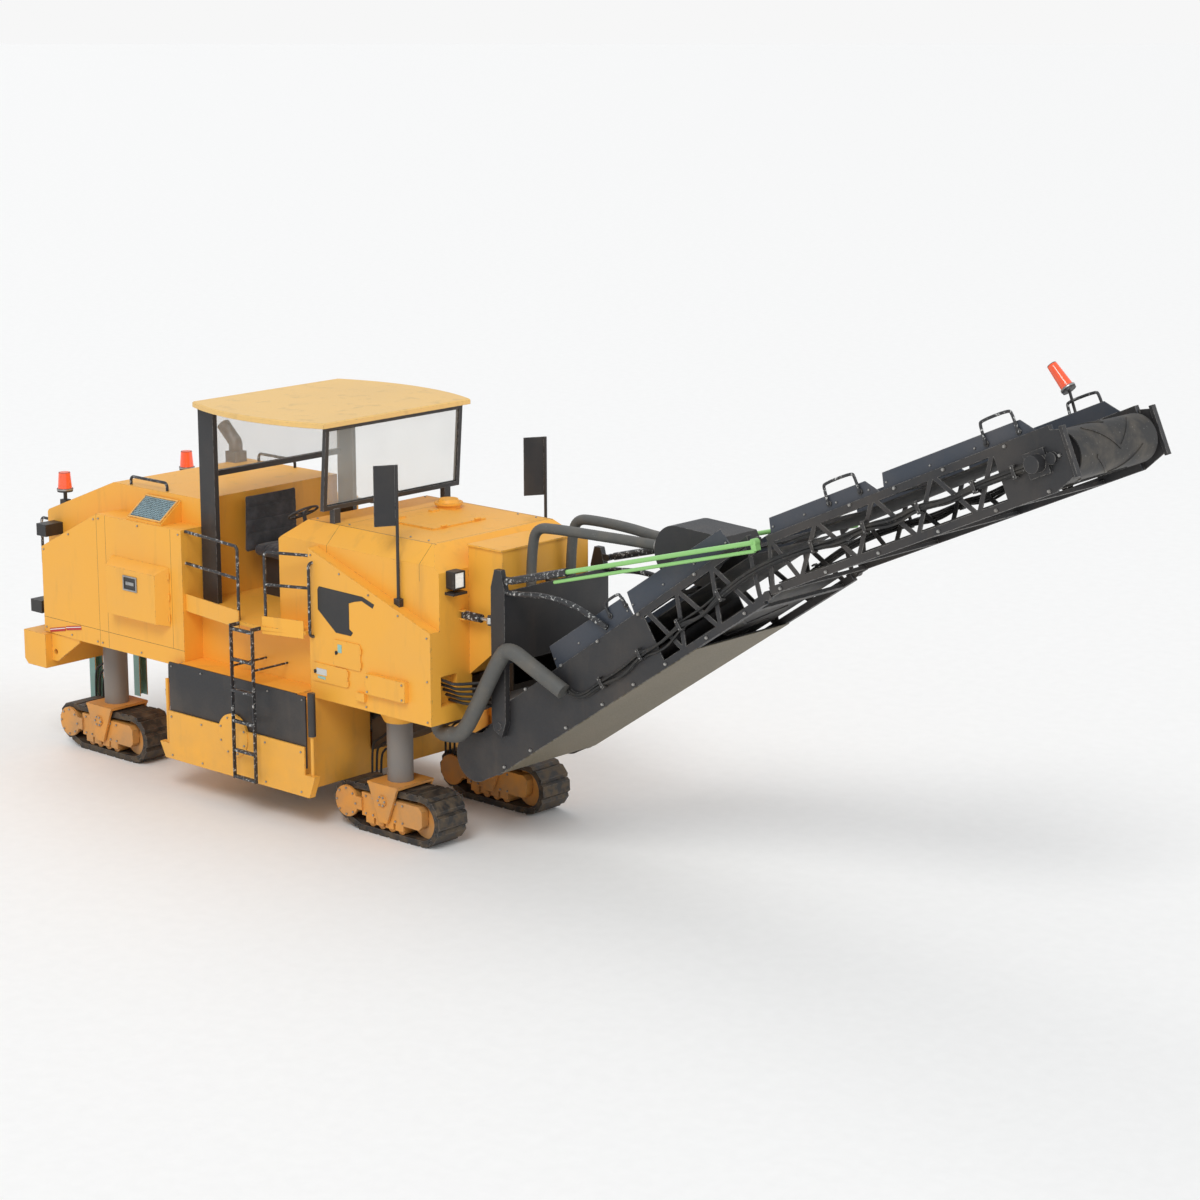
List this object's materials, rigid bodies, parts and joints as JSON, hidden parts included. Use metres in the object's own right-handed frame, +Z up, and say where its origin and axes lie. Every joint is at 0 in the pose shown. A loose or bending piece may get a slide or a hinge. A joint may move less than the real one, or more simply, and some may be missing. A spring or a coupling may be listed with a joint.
{
  "type": "cold planer milling machine",
  "caption": "Tracked road milling machine with a canopy, a milling drum under the frame, steered track units and a folding discharge conveyor at the front.",
  "frame": {"origin": "on the ground under the middle of the bounding box", "axes": "+X forward along the conveyor, +Y to the machine's left, +Z up"},
  "size_m": [14.2157, 3.14, 5.6379],
  "materials": {
    "yellow_paint": "worn gloss with chipped edges",
    "canopy_paint": "satin",
    "charcoal_steel": "matt, scratched",
    "dark_paint": "matt",
    "track_steel": "worn, dirty",
    "cast_steel": "worn",
    "rod_steel": "polished by use",
    "green_rod": "gloss",
    "belt_rubber": "ribbed",
    "hose_rubber": "matt",
    "lamp_lens": "clear red",
    "tube_paint": "mottled by wear",
    "mirror_plate": "clear",
    "window": "clear",
    "seat_cloth": "woven",
    "exhaust_steel": "heat stained"
  },
  "bodies": {
    "machine": {"bumper": "yellow_paint", "canopy_frame": "charcoal_steel", "canopy_roof": "canopy_paint", "consoles": "dark_paint", "cutter_housing": "yellow_paint", "deck_fittings": "yellow_paint", "engine_block": "dark_paint", "exhaust": "exhaust_steel", "front_body": "yellow_paint", "glass": "window", "handrails": "tube_paint", "inner_conveyor": "dark_paint", "ladders": "tube_paint", "lamps": "lamp_lens", "middle_frame": "yellow_paint", "mirrors": "mirror_plate", "plate_cylinders": "dark_paint", "platform": "yellow_paint", "pod_skins": "yellow_paint", "rear_hood": "yellow_paint", "rear_pods": "yellow_paint", "seat": "seat_cloth", "slew_hoses": "hose_rubber", "track_hoses": "hose_rubber"},
    "track_unit_front_left": {"track_front_left": "track_steel", "carrier_front_left": "yellow_paint"},
    "track_unit_front_right": {"track_front_right": "track_steel", "carrier_front_right": "yellow_paint"},
    "track_unit_rear_left": {"track_rear_left": "track_steel", "carrier_rear_left": "yellow_paint"},
    "track_unit_rear_right": {"track_rear_right": "track_steel", "carrier_rear_right": "yellow_paint"},
    "milling_drum": {"milling_drum": "cast_steel"},
    "side_plate_left": {"side_plate_left": "yellow_paint"},
    "side_plate_right": {"side_plate_right": "yellow_paint"},
    "slewing_frame": {"slewing_frame": "charcoal_steel", "lift_hoses": "hose_rubber"},
    "discharge_lower": {"lower_frame": "charcoal_steel", "lower_belt": "belt_rubber", "dust_fan": "dark_paint", "conveyor_cables": "hose_rubber"},
    "discharge_upper": {"upper_frame": "charcoal_steel", "upper_belt": "belt_rubber"},
    "slew_barrel_left": {"slew_barrel_left": "tube_paint"},
    "slew_rod_left": {"slew_rod_left": "rod_steel"},
    "slew_barrel_right": {"slew_barrel_right": "tube_paint"},
    "slew_rod_right": {"slew_rod_right": "rod_steel"},
    "lift_barrels": {"lift_barrels": "tube_paint"},
    "lift_rods": {"lift_rods": "green_rod"},
    "pod_door_upper_left": {"pod_door_upper_left": "yellow_paint"},
    "pod_door_lower_left": {"pod_door_lower_left": "yellow_paint"},
    "service_door_left": {"service_door_left": "yellow_paint"},
    "pod_door_upper_right": {"pod_door_upper_right": "yellow_paint"},
    "pod_door_lower_right": {"pod_door_lower_right": "yellow_paint"},
    "service_door_right": {"service_door_right": "yellow_paint"},
    "deck_hatch": {"deck_hatch": "yellow_paint"}
  },
  "joints": [
    {"name": "steer_front_left", "type": "hinge", "parent": "machine", "child": "track_unit_front_left", "pos_m": [-1.245, 0.79, 0.6], "axis": [0, 0, 1], "range_deg": [-25, 25], "deforming": ["track_hoses"]},
    {"name": "steer_front_right", "type": "hinge", "parent": "machine", "child": "track_unit_front_right", "pos_m": [-1.245, -0.79, 0.6], "axis": [0, 0, 1], "range_deg": [-25, 25], "deforming": ["track_hoses"]},
    {"name": "steer_rear_left", "type": "hinge", "parent": "machine", "child": "track_unit_rear_left", "pos_m": [-6.01, 0.79, 0.6], "axis": [0, 0, 1], "range_deg": [-20, 20], "deforming": ["track_hoses"]},
    {"name": "steer_rear_right", "type": "hinge", "parent": "machine", "child": "track_unit_rear_right", "pos_m": [-6.01, -0.79, 0.6], "axis": [0, 0, 1], "range_deg": [-20, 20], "deforming": ["track_hoses"]},
    {"name": "drum_spin", "type": "hinge", "parent": "machine", "child": "milling_drum", "pos_m": [-3.172, 0, 0.855], "axis": [0, 1, 0], "continuous": true},
    {"name": "side_plate_left_lift", "type": "slide", "parent": "machine", "child": "side_plate_left", "axis": [0, 0, 1], "range_m": [-0.28, 0.12]},
    {"name": "side_plate_right_lift", "type": "slide", "parent": "machine", "child": "side_plate_right", "axis": [0, 0, 1], "range_m": [-0.28, 0.12]},
    {"name": "slew", "type": "hinge", "parent": "machine", "child": "slewing_frame", "pos_m": [0.218, 0, 2.4], "axis": [0, 0, 1], "range_deg": [-6, 6], "deforming": ["slew_hoses"]},
    {"name": "conveyor_lift", "type": "hinge", "parent": "slewing_frame", "child": "discharge_lower", "pos_m": [0.218, 0, 1.45], "axis": [0, -1, 0], "range_deg": [-6, 4], "deforming": ["slew_hoses", "lift_hoses", "conveyor_cables"]},
    {"name": "conveyor_fold", "type": "hinge", "parent": "discharge_lower", "child": "discharge_upper", "pos_m": [3.69, 0, 3.352], "axis": [0, 1, 0], "range_deg": [0, 60], "deforming": ["conveyor_cables"]},
    {"name": "slew_barrel_left_pivot", "type": "hinge", "parent": "machine", "child": "slew_barrel_left", "pos_m": [-0.3, 0.749, 2.541], "axis": [0, 0, 1], "range_deg": [-5, 5]},
    {"name": "slew_rod_left_slide", "type": "slide", "parent": "slew_barrel_left", "child": "slew_rod_left", "axis": [1, 0, 0], "range_m": [-0.081, 0.081]},
    {"name": "slew_barrel_right_pivot", "type": "hinge", "parent": "machine", "child": "slew_barrel_right", "pos_m": [-0.3, -0.749, 2.541], "axis": [0, 0, 1], "range_deg": [-5, 5]},
    {"name": "slew_rod_right_slide", "type": "slide", "parent": "slew_barrel_right", "child": "slew_rod_right", "axis": [1, 0, 0], "range_m": [-0.081, 0.081]},
    {"name": "lift_barrels_pivot", "type": "hinge", "parent": "slewing_frame", "child": "lift_barrels", "pos_m": [0.352, 0, 2.994], "axis": [0, -1, 0], "range_deg": [-8, 6]},
    {"name": "lift_rods_slide", "type": "slide", "parent": "lift_barrels", "child": "lift_rods", "axis": [0.9659, 0, 0.259], "range_m": [-0.12, 0.17]},
    {"name": "pod_door_upper_left_hinge", "type": "hinge", "parent": "machine", "child": "pod_door_upper_left", "pos_m": [-1.365, 1.2223, 1.98], "axis": [0, 0, -1], "range_deg": [0, 110]},
    {"name": "pod_door_lower_left_hinge", "type": "hinge", "parent": "machine", "child": "pod_door_lower_left", "pos_m": [-1.567, 1.2223, 1.725], "axis": [0, 0, -1], "range_deg": [0, 110]},
    {"name": "service_door_left_hinge", "type": "hinge", "parent": "machine", "child": "service_door_left", "pos_m": [-4.327, 1.3363, 2.196], "axis": [0, 0, -1], "range_deg": [0, 100]},
    {"name": "pod_door_upper_right_hinge", "type": "hinge", "parent": "machine", "child": "pod_door_upper_right", "pos_m": [-1.365, -1.2223, 1.98], "axis": [0, 0, 1], "range_deg": [0, 110]},
    {"name": "pod_door_lower_right_hinge", "type": "hinge", "parent": "machine", "child": "pod_door_lower_right", "pos_m": [-1.567, -1.2223, 1.725], "axis": [0, 0, 1], "range_deg": [0, 110]},
    {"name": "service_door_right_hinge", "type": "hinge", "parent": "machine", "child": "service_door_right", "pos_m": [-4.327, -1.3363, 2.196], "axis": [0, 0, 1], "range_deg": [0, 100]},
    {"name": "deck_hatch_hinge", "type": "hinge", "parent": "machine", "child": "deck_hatch", "pos_m": [-1.086, 0, 3.291], "axis": [0, 1, 0], "range_deg": [0, 80]}
  ],
  "couplings": [
    {"joint": "slew_barrel_left_pivot", "follows": "slew", "ratio": -0.42},
    {"joint": "slew_rod_left_slide", "follows": "slew", "m_per_rad": -0.7455},
    {"joint": "slew_barrel_right_pivot", "follows": "slew", "ratio": -0.42},
    {"joint": "slew_rod_right_slide", "follows": "slew", "m_per_rad": 0.7455},
    {"joint": "lift_barrels_pivot", "follows": "conveyor_lift", "ratio": 1.146},
    {"joint": "lift_rods_slide", "follows": "conveyor_lift", "m_per_rad": -1.464}
  ]
}
